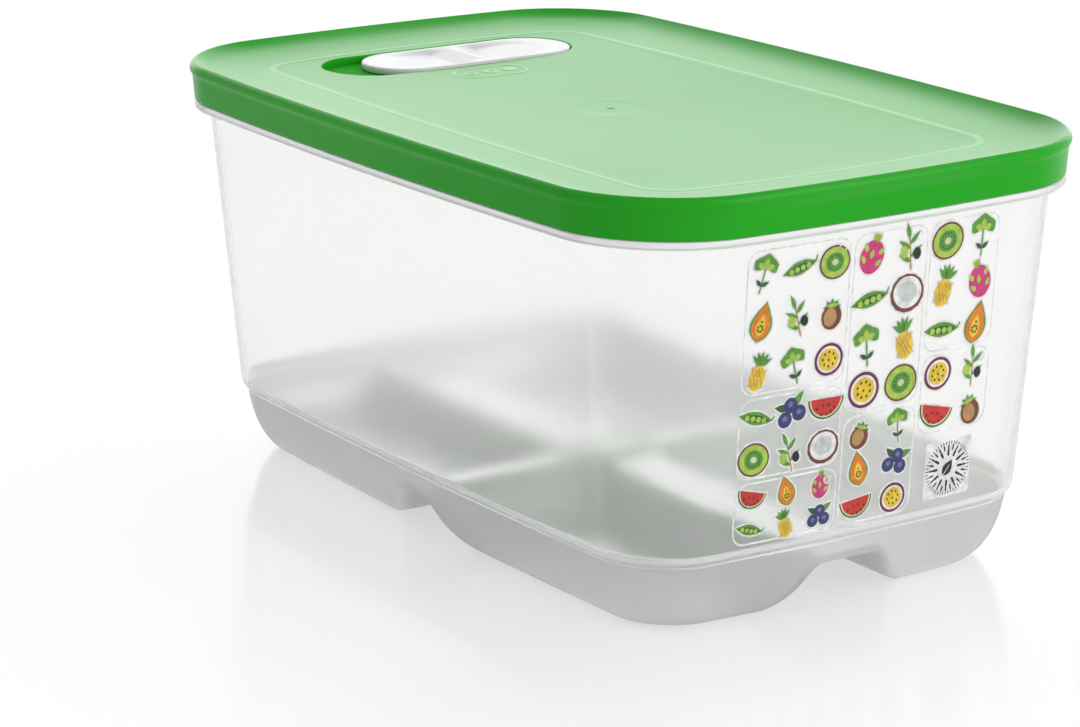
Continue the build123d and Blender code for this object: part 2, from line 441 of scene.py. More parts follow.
clear_wall = clear_plastic(
    "tub_clear", tint=(0.995, 0.993, 0.99, 1), clearness=0.968, roughness=0.13,
    grain_scale=160, grain_strength=0.10, shade=(0.97, 0.975, 0.975, 1),
)
# The base's milky frosting is real; its tint is a darker grey than that, painted shade in place of
# the shade of contents.
frosted_base = clear_plastic(
    "tub_frosted", tint=(0.74, 0.74, 0.735, 1), clearness=0.55, roughness=0.45,
    grain_scale=2600, grain_strength=0.3, shade=(0.66, 0.66, 0.66, 1),
)
# Painted highlight: pale milky plastic for the bright lines at the step and below the flange.
edge_highlight_plastic = clear_plastic(
    "tub_painted_edge_highlight", tint=(0.96, 0.97, 0.97, 1), clearness=0.5, roughness=0.25,
    grain_scale=160, grain_strength=0.10, shade=(0.9, 0.9, 0.9, 1),
)
for plastic in (clear_wall, frosted_base, edge_highlight_plastic):
    tub.data.materials.append(plastic)
centres = np.empty(len(tub.data.polygons) * 3)
normals = np.empty(len(tub.data.polygons) * 3)
tub.data.polygons.foreach_get("center", centres)
tub.data.polygons.foreach_get("normal", normals)
centres, normals = centres.reshape(-1, 3), normals.reshape(-1, 3)
height = centres[:, 2]
outward = (normals[:, :2] * centres[:, :2]).sum(axis=1) > 0
frosted = (height < step_bottom) & (outward | (normals[:, 2] < underside_slope))
# Faces that get the painted edge highlight, below the flange and along the step's two edges.
painted_edge_highlight = (height > flange_bottom - flange_edge) | (np.abs(height - step_top) < step_top_edge)
painted_edge_highlight |= outward & (np.abs(height - step_bottom) < step_bottom_edge)
frosted |= outward & ~painted_edge_highlight & (height < step_top)
tub.data.polygons.foreach_set("material_index", np.where(painted_edge_highlight, 2, frosted).astype(np.int32))
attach(tub, "tub")
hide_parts("container_tub")


# Lid
# One soft green polyethylene moulding. Its lip and skirt hang over the tub's flange, a plug
# inside grips the rim, and its plate sags a little between the raised line and the middle.
lid_top = 133.4 * mm
skirt_bottom = 120.92 * mm
skirt_inset = 1.5 * mm
skirt_inner_inset = skirt_inset + 1.8 * mm
skirt_start = skirt_bottom + 0.9 * mm
skirt_end = skirt_bottom + 1.2 * mm
lip_widest = 130.9 * mm
lip_shoulder = 132.6 * mm
lip_shoulder_inset = 0.4 * mm
lip_root = 129.5 * mm
lip_root_inset = 0.9 * mm
crest_outer_inset = 1.5 * mm
crest_inner_inset = 1.9 * mm
slope_inset = 18.9 * mm
slope_fall = 0.56 * mm
crest_drop = 2.97 * mm
slope_foot = lid_top - slope_fall - crest_drop
line_half_x = 119.0 * mm
line_half_y = 64.35 * mm
line_corner = 10.0 * mm
line_bow = np.array([5.2, 3.4]) * mm
line_width = 3.2 * mm
line_rise = 0.08 * mm
line_level = 129.65 * mm
plate_sag = 1.6 * mm
# Painted highlight along the raised line, and painted sheen on the band outside it.
line_highlight_half = 1.55 * mm
band_painted_sheen = 0.22
band_reach = 26.0 * mm
band_fade = 6.0 * mm
plate_thickness = 2.0 * mm
edge_chamfer = 0.3 * mm
plug_inner_inset = 7.7 * mm
plug_outer_inset = 5.9 * mm
plug_bottom = 121.5 * mm
groove_top = 129.9 * mm

vent_x = -96.9 * mm
vent_y = 1.1 * mm
pocket_half = 46.6 * mm
pocket_radius = 16.25 * mm
pocket_floor_top = 127.0 * mm
pocket_floor_bottom = 125.4 * mm
pocket_wall = 1.8 * mm
pocket_edge = 0.5 * mm

green_tones = ((0.014, 0.385, 0.012), (0.022, 0.425, 0.016))
# Paler green of the painted highlight and sheen.
green_painted_highlight = (0.18, 0.60, 0.18, 1)
gate_x = 1.6 * mm
gate_pip_radius = 1.7 * mm
gate_ring_inner = 8.0 * mm
gate_ring_outer = 12.0 * mm
gate_ring_depth = 0.12
gate_rise = 0.8 * mm


def plate_height(x, y):
    """Height of the plate: level at the raised line, and lower inside it by the sag times
    (1 - (x / a)^2) (1 - (y / b)^2)."""
    across = np.clip(1 - (x / line_half_x)**2, 0, 1)
    along = np.clip(1 - (y / line_half_y)**2, 0, 1)
    return line_level - plate_sag * across * along


def pocket_loop(angle, outset):
    """Points of the vent pocket's round-ended outline, moved outwards, at angles about its middle.

    A ray meets the straight side where its x is the radius, or else the end's circle.
    """
    radius = pocket_radius + outset
    straight = pocket_half - pocket_radius
    cos, sin = np.cos(angle), np.sin(angle)
    side = radius / np.maximum(np.abs(cos), 1e-9)
    lean = np.abs(sin) * straight
    end = lean + np.sqrt(np.maximum(lean**2 - straight**2 + radius**2, 0))
    reach = np.where(side * np.abs(sin) <= straight, side, end)
    return np.stack([vent_x + reach * cos, vent_y + reach * sin], axis=-1)


def rays_between(outer, outset, shares):
    """Rows of points on straight rays from an outer outline (share 0) to the pocket's (share 1)."""
    angle = np.arctan2(outer[:, 1] - vent_y, outer[:, 0] - vent_x)
    inner = pocket_loop(angle, outset)
    share = np.asarray(shares)[:, None, None]
    return outer[None, :, :2] * (1 - share) + inner[None] * share


def with_height(flat, height):
    """Adds a height to rows of flat points."""
    return np.concatenate([flat, np.broadcast_to(height, flat.shape[:-1])[..., None]], axis=-1)


def on_plate(flat, above=0.0):
    """Lays rows of flat points on the plate, or at a height above it."""
    return with_height(flat, plate_height(flat[..., 0], flat[..., 1]) + above)


lid_directions = around_outline(long_side=144, short_side=90, corner=29, crowding=0.9)
skirt_profile = rounded_profile(
    [
        lid_family(skirt_inner_inset, skirt_start),
        lid_family(skirt_inner_inset, skirt_bottom),
        lid_family(skirt_inset, skirt_bottom),
        lid_family(lip_root_inset, lip_root),
        lid_family(0, lip_widest),
        lid_family(lip_shoulder_inset, lip_shoulder),
        lid_family(crest_outer_inset, lid_top),
        lid_family(crest_inner_inset, lid_top),
    ],
    setbacks=np.array([0.4, 0.5, 0.8, 0.7, 0.6, 0.3]) * mm,
    steps=(1, 1, 5, 1, 1, 1, 1),
)

# The slope falls evenly towards its foot, and near the crest also as the fourth power of the
# way that is left.
slope_share = np.linspace(0, 1, 19)[1:]**1.5
slope_start = skirt_profile[-1, 0]
slope = np.stack([
    slope_start + (slope_inset - slope_start) * slope_share,
    slope_foot + slope_fall * (1 - slope_share) + crest_drop * (1 - slope_share)**4,
    0 * slope_share,
    lip_corner - slope_start - (slope_inset - slope_start) * slope_share,
], axis=1)
skirt_rows = carried(np.concatenate([skirt_profile, slope]), lid_directions)

# The section of the raised line is its rise times (1 - t^2)^1.5, with t from -1 to 1 across it.
# The band's last row stops short of the line, so that no face folds.
bead = np.linspace(-1, 1, 9)
to_line = np.linspace(0, 0.66, 4)[1:]


def between_slope_and_line(share, outset, height):
    """Rows between the foot of the slope (share 0) and the raised line (share 1), moved outwards.

    Half sizes, corner radius and bows are those of the two outlines, mixed by the share.
    """
    share = np.broadcast_to(share, outset.shape)[:, None]
    foot = np.array([
        lip_half_x - slope_inset, lip_half_y - slope_inset, lip_corner - slope_inset, *lip_bow,
    ])
    line = np.array([line_half_x, line_half_y, line_corner, *line_bow])
    half_x, half_y, corner, bow_x, bow_y = (foot * (1 - share) + line * share).T
    return outlines(
        lid_directions, half_x + outset, half_y + outset, corner + outset, bow_x, bow_y, height,
    )


band_level = slope_foot + (line_level - slope_foot) * to_line
band_rows = between_slope_and_line(to_line, 0 * to_line, band_level)
line_rows = between_slope_and_line(
    1.0, -bead * line_width / 2, line_level + line_rise * (1 - bead**2)**1.5,
)
plate_edge = line_rows[-1]
plate_shares = 1 - (1 - np.linspace(0, 1, 26)[1:-1])**1.25
plate_rows = on_plate(rays_between(plate_edge, pocket_edge, plate_shares))
ray_angle = np.arctan2(plate_edge[:, 1] - vent_y, plate_edge[:, 0] - vent_x)
pocket_rows = []
for turn in np.linspace(0, pi / 2, 6):
    flat = pocket_loop(ray_angle, pocket_edge * (1 - np.sin(turn)))
    pocket_rows.append(on_plate(flat, -pocket_edge * (1 - np.cos(turn))))
for outset, level in (
    (0, pocket_floor_top),
    (0, pocket_floor_bottom + edge_chamfer),
    (edge_chamfer, pocket_floor_bottom),
    (pocket_wall - edge_chamfer, pocket_floor_bottom),
    (pocket_wall, pocket_floor_bottom + edge_chamfer),
):
    pocket_rows.append(with_height(pocket_loop(ray_angle, outset), level))
under_outline = between_slope_and_line(0.0, np.zeros(1), np.zeros(1))[0]
under_flat = rays_between(under_outline, pocket_wall, np.linspace(1, 0, 14))
under_rows = on_plate(under_flat, -plate_thickness)
plug_profile = rounded_profile(
    [
        lid_family(slope_inset, line_level - plate_thickness),
        lid_family(plug_inner_inset, line_level - plate_thickness + edge_chamfer),
        lid_family(plug_inner_inset, plug_bottom),
        lid_family(plug_outer_inset, plug_bottom),
        lid_family(plug_outer_inset, groove_top),
        lid_family(skirt_inner_inset, groove_top),
        lid_family(skirt_inner_inset, skirt_end),
    ],
    setbacks=np.array([0.8, 0.6, 0.6, 0.5, 0.5]) * mm,
    steps=(3, 2, 1, 2, 1, 2),
)
plug_rows = carried(plug_profile[1:], lid_directions)
lid = skin("lid_shell", np.concatenate([
    skirt_rows, band_rows, line_rows, plate_rows, np.stack(pocket_rows), under_rows, plug_rows,
]), closed=True)


def outside_line(x, y):
    """Distance outside the middle of the raised line, negative inside it.

    The bow of the sides is taken out of x and y in three rounds, and what is left is the distance
    from a rounded rectangle: that of its corner's circle past the straight sides, or else of the
    nearer side.
    """
    half = np.array([line_half_x, line_half_y]) - line_bow
    flat_x, flat_y = x, y
    for _ in range(3):
        flat_x = x / (1 + line_bow[0] / half[0] * (1 - (flat_y / half[1])**2))
        flat_y = y / (1 + line_bow[1] / half[1] * (1 - (flat_x / half[0])**2))
    past_x = np.abs(flat_x) - half[0] + line_corner
    past_y = np.abs(flat_y) - half[1] + line_corner
    corner = np.hypot(np.maximum(past_x, 0), np.maximum(past_y, 0))
    return corner + np.minimum(np.maximum(past_x, past_y), 0) - line_corner


def lid_painted_highlight(x, y, z):
    """Painted highlight of the lid: along the raised line it falls from 1 at the middle to 0 at
    its edges as a half circle does, and outside the line it is a painted sheen, a share that
    fades out at the crest."""
    distance = outside_line(x, y)
    on_line = np.sqrt(np.clip(1 - (distance / line_highlight_half)**2, 0, 1))
    band = band_painted_sheen * np.clip((band_reach - distance) / band_fade, 0, 1) * (distance > 0)
    return np.maximum(on_line, band) * (z > line_level - plate_sag)


def mark_painted_highlight(piece, highlighting):
    """Attribute that says how much painted highlight each point gets, from a function of its place.
    """
    place = np.empty(len(piece.data.vertices) * 3)
    piece.data.vertices.foreach_get("co", place)
    painted_highlight = piece.data.attributes.new("painted_highlight", "FLOAT", "POINT")
    painted_highlight.data.foreach_set("value", highlighting(*place.reshape(-1, 3).T).astype(np.float32))


def two_tones(link, add, share, tones, ends=(0.0, 1.0)):
    """Colour that goes from one tone to the other while the share goes between two ends."""
    ramp = add("ValToRGB")
    for element, end, tone in zip(ramp.color_ramp.elements, ends, tones):
        element.position = end
        element.color = (*tone, 1)
    link(share, ramp.inputs["Fac"])
    return ramp.outputs["Color"]


def soft_green(name, roughness, gloss):
    """Satin polyethylene: saturated green, with a paler green painted as highlight on the raised
    lines and as sheen on the band outside them, and with the pip and the flow ring that the
    moulding's gate leaves near the middle of the lid."""
    material, link, add = new_material(name)
    body = add("BsdfPrincipled")
    set_inputs(body, Roughness=roughness, IOR=1.22, Specular_IOR_Level=gloss)
    patch = noise_share(link, add, scale=14.0, detail=2.0)
    tone = two_tones(link, add, patch, green_tones, ends=(0.3, 0.75))
    # Painted highlight and sheen: the attribute mixes in the paler green.
    painted_highlight = add("Attribute", attribute_name="painted_highlight")
    highlighting = add("Mix", data_type="RGBA")
    share, plain_tone, highlit = highlighting.inputs[0], highlighting.inputs[6], highlighting.inputs[7]
    highlit.default_value = green_painted_highlight
    link(painted_highlight.outputs["Fac"], share)
    link(tone, plain_tone)
    link(highlighting.outputs[2], body.inputs["Base Color"])

    centred = add("Mapping")
    set_inputs(centred, Location=(-gate_x, 0, 0), Scale=(1, 1, 0))
    link(add("TexCoord").outputs["Object"], centred.inputs["Vector"])
    distance = add("VectorMath", operation="LENGTH")
    link(centred.outputs["Vector"], distance.inputs[0])
    marks = add("Math", operation="ADD")
    for number, (inner, outer, rise) in enumerate((
        (0, gate_pip_radius, 1.0),
        (gate_ring_inner, gate_ring_outer, -gate_ring_depth),
    )):
        mark = add("MapRange", interpolation_type="SMOOTHSTEP")
        set_inputs(mark, From_Min=inner, From_Max=outer, To_Min=rise, To_Max=0.0)
        link(distance.outputs["Value"], mark.inputs["Value"])
        link(mark.outputs["Result"], marks.inputs[number])
    gate_bump = bump_of(link, add, marks.outputs["Value"], strength=1.0, distance=gate_rise)
    grain = noise_share(link, add, scale=700.0, detail=2.0)
    grain_bump = bump_of(link, add, grain, strength=0.25, distance=0.02 * mm)
    link(gate_bump.outputs["Normal"], grain_bump.inputs["Normal"])
    link(grain_bump.outputs["Normal"], body.inputs["Normal"])
    to_surface(link, add, body.outputs["BSDF"])
    return material


# Painted highlight on the raised line and painted sheen on the band outside it.
mark_painted_highlight(lid, lid_painted_highlight)
lid_green = soft_green("lid_green", roughness=0.30, gloss=0.5)
lid.data.materials.append(lid_green)
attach(lid, "lid")
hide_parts("lid")


# Vent pocket floor
# The floor of the pocket is part of the same green moulding. Seven holes near one end let air
# through, and two slots guide the legs of the slider.
vent_hole_radius = 1.5 * mm
vent_hole_pitch = 5.5 * mm
vent_rows = ((5.6 * mm, 3), (11.5 * mm, 4))
leg_spacing = 36.0 * mm
leg_width = 5.0 * mm
leg_thickness = 3.0 * mm
leg_gap = 0.3 * mm
slider_travel = 14.8 * mm
floor_tuck = 0.4 * mm
floor_lift = 0.02 * mm


def full_turn(count):
    """Angles spaced evenly round a circle."""
    return np.linspace(0, 2 * pi, count + 1)[:-1]


def pierced_plate(name, outer, holes, bottom, top):
    """Flat plate between two heights: its outline and its holes are closed loops of (x, y) points.

    The two faces are filled between the loops, and each loop gets an upright wall.
    """
    work = bmesh.new()
    rings = []
    for height in (bottom, top):
        edges = []
        level = []
        for loop in [outer] + holes:
            ring = [work.verts.new((x, y, height)) for x, y in loop]
            edges += [work.edges.new((ring[i - 1], ring[i])) for i in range(len(ring))]
            level.append(ring)
        bmesh.ops.triangle_fill(work, use_beauty=True, use_dissolve=False, edges=edges)
        rings.append(level)
    for low, high in zip(*rings):
        for i in range(len(low)):
            work.faces.new((low[i - 1], low[i], high[i], high[i - 1]))
    bmesh.ops.recalc_face_normals(work, faces=work.faces)
    mesh = bpy.data.meshes.new(name)
    work.to_mesh(mesh)
    work.free()
    return in_scene(name, mesh)


hole_turn = full_turn(24)
hole_ring = vent_hole_radius * np.stack([np.cos(hole_turn), np.sin(hole_turn)], axis=1)
holes = []
for from_end, count in vent_rows:
    for number in range(count):
        shift = (number - (count - 1) / 2) * vent_hole_pitch
        holes.append(hole_ring + (vent_x + shift, vent_y + pocket_half - from_end))
slot_reach = (leg_thickness + slider_travel) / 2 + leg_gap
slot_half = leg_width / 2 + leg_gap
slot_corners = np.array([(1, 1), (-1, 1), (-1, -1), (1, -1)]) * (slot_half, slot_reach)
for side in (-1, 1):
    holes.append(slot_corners + (vent_x, vent_y + side * leg_spacing / 2))
vent_floor = pierced_plate(
    "lid_vent_floor", pocket_loop(full_turn(96), floor_tuck), holes,
    pocket_floor_bottom + floor_lift, pocket_floor_top,
)
vent_floor.data.materials.append(soft_green("lid_green_matt", roughness=0.65, gloss=0.15))
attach(vent_floor, "lid")
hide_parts("lid")


# Legend beside the slider
# Raised lines of the same moulding: an oval with an empty, a half and a full round. The crest
# of the slider points at the round that says how far the vent is open.
legend_x = -68.7 * mm
legend_half = 13.1 * mm
legend_radius = 7.0 * mm
legend_line = 1.4 * mm
legend_rise = 0.09 * mm
legend_sink = 0.3 * mm
round_radius = 2.7 * mm
round_pitch = 7.4 * mm
half_fill_gap = 0.2 * mm


def raised_line(name, path, width, rise):
    """Rounded line that stands up from the plate along a closed path of (x, y) points.

    Its section is half an ellipse of the given width and rise, closed below the plate.
    """
    along = np.roll(path, -1, axis=0) - np.roll(path, 1, axis=0)
    across = np.stack([along[:, 1], -along[:, 0]], axis=1) / np.hypot(*along.T)[:, None]
    angle = np.linspace(0, pi, 9)
    offset = np.concatenate([np.cos(angle), [-1, 1]]) * width / 2
    height = np.concatenate([np.sin(angle) * rise, [-legend_sink, -legend_sink]])
    flat = path[None] + across[None] * offset[:, None, None]
    level = plate_height(path[:, 0], path[:, 1])[None] + height[:, None]
    return skin(name, with_height(flat, level), closed=True)


def raised_patch(name, path, rise):
    """Flat-topped mark inside a closed path, with a rounded edge and a base below the plate.

    Its rows are the path, shrunk about its middle by a share, each with a share of the rise.
    """
    middle = path.mean(axis=0)
    share = np.array([0, 0.45, 0.8, 0.93, 0.98, 1.0, 1.0, 0.0])
    height = np.array([1, 1, 1, 0.85, 0.55, 0, -legend_sink / rise, -legend_sink / rise]) * rise
    flat = middle + (path - middle)[None] * share[:, None, None]
    return skin(name, on_plate(flat, height[:, None]))


def legend_painted_highlight(x, y, z):
    """Painted highlight of a mark: the root of a point's height above the plate as a share of the
    rise.
    """
    return np.sqrt(np.clip((z - plate_height(x, y)) / legend_rise, 0, 1))


def ring_path(y, radius, start=0.0, end=2 * pi):
    """Points of a circle about the legend's middle line, or of the part between two angles."""
    whole = end - start > 1.5 * pi
    angle = full_turn(40) if whole else np.linspace(start, end, 25)
    return np.stack([legend_x + radius * np.cos(angle), y + radius * np.sin(angle)], axis=1)


def oval_path(half, radius):
    """Points of a round-ended outline with its length along Y, about the legend's middle.

    They are a circle's points, moved outwards along Y by the length of the straight part.
    """
    straight = half - radius
    angle = full_turn(72)
    x = legend_x + radius * np.cos(angle)
    y = straight * np.sign(np.sin(angle) + 1e-9) + radius * np.sin(angle)
    return np.stack([x, y], axis=1)


ring_radius = round_radius - legend_line / 2
half_round = ring_path(0, round_radius - half_fill_gap, pi, 2 * pi)
legend_marks = [
    raised_line("legend_oval", oval_path(legend_half, legend_radius), legend_line, legend_rise),
    raised_line("legend_open", ring_path(-round_pitch, ring_radius), legend_line, legend_rise),
    raised_line("legend_half_ring", ring_path(0, ring_radius), legend_line, legend_rise),
    raised_patch("legend_half_fill", half_round, legend_rise),
    raised_patch("legend_closed", ring_path(round_pitch, round_radius), legend_rise),
]
# The marks' tops get the lid's painted highlight.
for mark in legend_marks:
    mark_painted_highlight(mark, legend_painted_highlight)
    mark.data.materials.append(lid_green)
    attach(mark, "lid")


# Vent slider
# One glossy white moulding that slides along the pocket. Two shallow scoops leave a crest for
# the finger at its middle, and two barbed legs hold it in the slots of the floor.
slider_half = 38.8 * mm
slider_radius = 15.85 * mm
slider_bottom = 127.3 * mm
slider_top = 129.5 * mm
slider_rest_y = vent_y + 7.4 * mm
slider_rounding = 0.8 * mm
slider_chamfer = 0.15 * mm
bottom_ring_inset = 3 * mm
side_crowding = 0.45
scoop_start = 0.8 * mm
scoop_wall = 8.0 * mm
scoop_length = 31.0 * mm
scoop_radius = 14.4 * mm
scoop_depth = 1.6 * mm
scoop_side = 5.0 * mm
barb_reach = 1.2 * mm
barb_top = 125.1 * mm
barb_bottom = 123.8 * mm
barb_shoulder = 0.1 * mm
barb_edge = 0.35 * mm
barb_taper = 0.4 * mm
leg_root = 0.4 * mm
white_tones = ((0.69, 0.69, 0.71), (0.74, 0.74, 0.755))


def soft_step(value):
    """Rises from 0 to 1 as the value does, level at both ends."""
    value = np.clip(value, 0, 1)
    return value * value * (3 - 2 * value)


def scoop_drop(x, y):
    """Depth of the finger scoops at a place on the slider.

    Along the slider the depth grows evenly over a wall beside the crest and then fades out
    evenly, and across it a soft wall follows the scoops' round-ended outline.
    """
    from_crest = np.abs(y) - scoop_start
    wall = np.clip(from_crest / scoop_wall, 0, 1)
    fade = np.clip(1 - (from_crest - scoop_wall) / (scoop_length - scoop_wall), 0, 1)
    along = np.where(from_crest < scoop_wall, wall, fade)
    straight = scoop_start + scoop_length - scoop_radius
    inside = scoop_radius - np.hypot(x, np.maximum(np.abs(y) - straight, 0))
    return scoop_depth * along * soft_step(inside / scoop_side)


straight = slider_half - slider_radius
t = np.linspace(-1, 1, 150)
side_y = straight * t * (side_crowding + (1 - side_crowding) * t**2)
end_angle = np.linspace(0, pi, 50)[1:-1]
loop_line = np.concatenate([side_y, 0 * end_angle + straight, -side_y, 0 * end_angle - straight])
loop_x = np.concatenate([0 * side_y + 1, np.cos(end_angle), 0 * side_y - 1, -np.cos(end_angle)])
loop_y = np.concatenate([0 * side_y, np.sin(end_angle), 0 * side_y, -np.sin(end_angle)])


def slider_rings(inset, height):
    """Rings parallel to the slider's outline: a straight line of places plus a direction times
    the radius less the inset."""
    radius = (slider_radius - inset)[:, None]
    x = vent_x + loop_x * radius
    y = slider_rest_y + loop_line + loop_y * radius
    return np.stack([x, y, np.broadcast_to(height[:, None], x.shape)], axis=-1)


bend = np.linspace(0, pi / 2, 6)
flat_insets = np.concatenate([
    slider_radius - np.linspace(0, scoop_radius - scoop_side, 20),
    np.linspace(slider_radius - scoop_radius + scoop_side, slider_radius - scoop_radius, 8)[1:],
    np.linspace(slider_radius - scoop_radius, slider_rounding, 5)[1:-1],
])
top_rings = slider_rings(flat_insets, slider_top + 0 * flat_insets)
top_rings[..., 2] -= scoop_drop(top_rings[..., 0] - vent_x, top_rings[..., 1] - slider_rest_y)
edge_inset = np.concatenate([
    slider_rounding * (1 - np.sin(bend)), [0, slider_chamfer, bottom_ring_inset, slider_radius],
])
edge_height = np.concatenate([
    slider_top - slider_rounding * (1 - np.cos(bend)),
    [slider_bottom + slider_chamfer, slider_bottom, slider_bottom, slider_bottom],
])
edge_rings = slider_rings(edge_inset, edge_height)
slider = skin("vent_slider_plate", np.concatenate([top_rings, edge_rings]))

# A leg is its barbed section carried through its thickness, with bevelled and closed ends.
leg_half = leg_width / 2
barb_half = leg_half + barb_reach
leg_profile = np.array([
    (leg_half, slider_bottom + leg_root),
    (leg_half, barb_top),
    (barb_half, barb_top - barb_shoulder),
    (barb_half, barb_top - barb_edge),
    (leg_half - barb_taper, barb_bottom),
])
leg_outline = np.concatenate([leg_profile, leg_profile[::-1] * (-1, 1)])
leg_middle = leg_outline.mean(axis=0)
leg_share = np.array([0, 0.94, 1, 1, 0.94, 0])
leg_reach = np.array([-1, -1, -0.9, 0.9, 1, 1]) * leg_thickness / 2
slider_legs = []
section = leg_middle + (leg_outline - leg_middle)[None] * leg_share[:, None, None]
for number, side in enumerate((-1, 1)):
    leg_y = slider_rest_y + side * leg_spacing / 2 + leg_reach[:, None]
    y = np.broadcast_to(leg_y, section.shape[:2])
    rows = np.stack([vent_x + section[..., 0], y, section[..., 1]], axis=-1)
    leg = skin(f"vent_slider_leg_{number + 1}", rows)
    leg.data.shade_flat()
    slider_legs.append(leg)


def gloss_white(name):
    """Glossy white polypropylene, a little uneven in its sheen."""
    material, link, add = new_material(name)
    body = add("BsdfPrincipled")
    set_inputs(body, IOR=1.38)
    patch = noise_share(link, add, scale=60.0, detail=2.0)
    link(two_tones(link, add, patch, white_tones), body.inputs["Base Color"])
    sheen = add("MapRange")
    set_inputs(sheen, To_Min=0.24, To_Max=0.34)
    link(patch, sheen.inputs["Value"])
    link(sheen.outputs["Result"], body.inputs["Roughness"])
    bump = moulded_bump(link, add, scale=900, strength=0.15, distance=0.01 * mm)
    link(bump.outputs["Normal"], body.inputs["Normal"])
    to_surface(link, add, body.outputs["BSDF"])
    return material


slider_white = gloss_white("slider_white")
for piece in [slider] + slider_legs:
    piece.data.materials.append(slider_white)
    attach(piece, "vent")
    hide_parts("vent_slider")


# Seal pad
# A soft translucent pad, pushed into the underside of the slider, that closes the vent holes.
# Its solid has the right shape, so it stays and only gets its material.
rubber_tones = ((0.52, 0.54, 0.54), (0.66, 0.68, 0.68))


def soft_rubber(name):
    """Matt silicone rubber with a fine powdery grain."""
    material, link, add = new_material(name)
    body = add("BsdfPrincipled")
    set_inputs(body, Roughness=0.6, IOR=1.42)
    grain = noise_share(link, add, scale=1500.0, detail=3.0)
    link(two_tones(link, add, grain, rubber_tones), body.inputs["Base Color"])
    bump = bump_of(link, add, grain, strength=0.3, distance=0.02 * mm)
    link(bump.outputs["Normal"], body.inputs["Normal"])
    to_surface(link, add, body.outputs["BSDF"])
    return material


seal_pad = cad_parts["vent_seal_pad"]
seal_rubber = soft_rubber("seal_rubber")
for material_slot in seal_pad.material_slots:
    material_slot.material = seal_rubber


# Side print
# A chart of small pictures in cells, screen printed on the outside of one short wall in
# opaque inks over a white base. The inks stand a few hundredths of a millimetre off the wall.
print_lift = 0.03 * mm
layer_lift = 0.03 * mm
halo_width = 0.55 * mm
cell_line = 0.55 * mm
cell_corner = 4.0 * mm
cell_gap = 0.5 * mm
picture_share = 1.04
picture_lean = 0.3
sign_size = 2.6 * mm
sign_line = 0.45 * mm
sign_inset = (3.6 + 3.6j) * mm
dial_size = 18.0 * mm
dial_corner = 1.0 * mm
dial_middle = (33.5 + 37.0j) * mm
dial_rays = ((48, 7.6, 8.4, 0.28), (24, 5.9, 7.1, 0.55), (12, 4.2, 5.4, 0.8))
dial_leaf_length = 5.6 * mm
dial_leaf_width = 3.6 * mm
dial_leaf_foot = dial_middle - (1.6 + 2.2j) * mm
dial_leaf_vein = dial_middle + (0.6 + 0.8j) * mm
dial_vein_width = 0.25 * mm

ink_white = (0.86, 0.86, 0.86)
ink_black = (0.012, 0.012, 0.014)
ink_leaf = (0.10, 0.33, 0.035)
ink_deep = (0.025, 0.11, 0.025)
ink_lime = (0.42, 0.60, 0.08)
ink_pale = (0.66, 0.74, 0.42)
ink_red = (0.62, 0.03, 0.02)
ink_orange = (0.80, 0.22, 0.02)
ink_yellow = (0.85, 0.58, 0.03)
ink_brown = (0.17, 0.055, 0.022)
ink_tan = (0.50, 0.27, 0.11)
ink_blue = (0.035, 0.045, 0.16)
ink_plum = (0.17, 0.015, 0.07)
ink_pink = (0.65, 0.04, 0.20)
ink_bloom = (0.16, 0.19, 0.36)
ink_milk = (0.62, 0.66, 0.64)


def on_wall(place, lift):
    """Points on the outside of the short wall: complex places hold y and height.

    The wall's half length grows evenly with height, less the bow times (y / half width)^2.
    """
    y, z = place.real, place.imag
    share = (z - step_top) / (flange_bottom - step_top)
    inset = step_top_inset + (mouth_inset - step_top_inset) * share
    half_width = lip_half_y - inset - wall_bow[1]
    x = lip_half_x - inset - wall_bow[0] * (y / half_width)**2 + lift
    return np.stack([x, y, z], axis=-1)


def oval(wide, high, at=0, lobes=0, depth=0.0, count=36):
    """Closed loop of an oval whose radius swells and shrinks by a depth, in a number of lobes."""
    angle = full_turn(count)
    swell = 1 + depth * np.cos(lobes * angle)
    return at + (wide / 2 * np.cos(angle) + 0.5j * high * np.sin(angle)) * swell


def leaf(length, width, at=0, turn=0.5, early=0.8):
    """Pointed leaf from a place outwards: its half width follows a sine of the way along it,
    with the widest part nearer to the start as early falls. A turn of 0.5 points up."""
    way = np.linspace(0, 1, 15)
    half = width / 2 * np.sin(pi * way**early)
    edge = way * length - 1j * half
    loop = np.concatenate([edge, np.conj(edge[::-1])[1:-1]])
    return at + loop * np.exp(1j * pi * turn)


def stem(start, end, width):
    """Straight stroke with round ends between two places."""
    reach = (end - start) / 2
    angle = np.linspace(-pi / 2, pi / 2, 9)
    cap = np.exp(1j * angle) * width / 2
    loop = np.concatenate([cap + abs(reach), -cap - abs(reach)])
    return (start + end) / 2 + loop * reach / abs(reach)


def slice_of(radius, start, end, at=0):
    """Piece of a disc between two angles, given as shares of half a turn."""
    arc = radius * np.exp(1j * pi * np.linspace(start, end, 30))
    return at + np.concatenate([arc, [0]])


def ring_of(count, radius, at=0, start=0.0):
    """Places spaced evenly round a circle."""
    return at + radius * np.exp(2j * pi * (np.arange(count) / count + start))


def inked(loops, ink, layer):
    """Gives several loops one ink and one layer. Higher layers lie over lower ones."""
    return [(loop, ink, layer) for loop in loops]


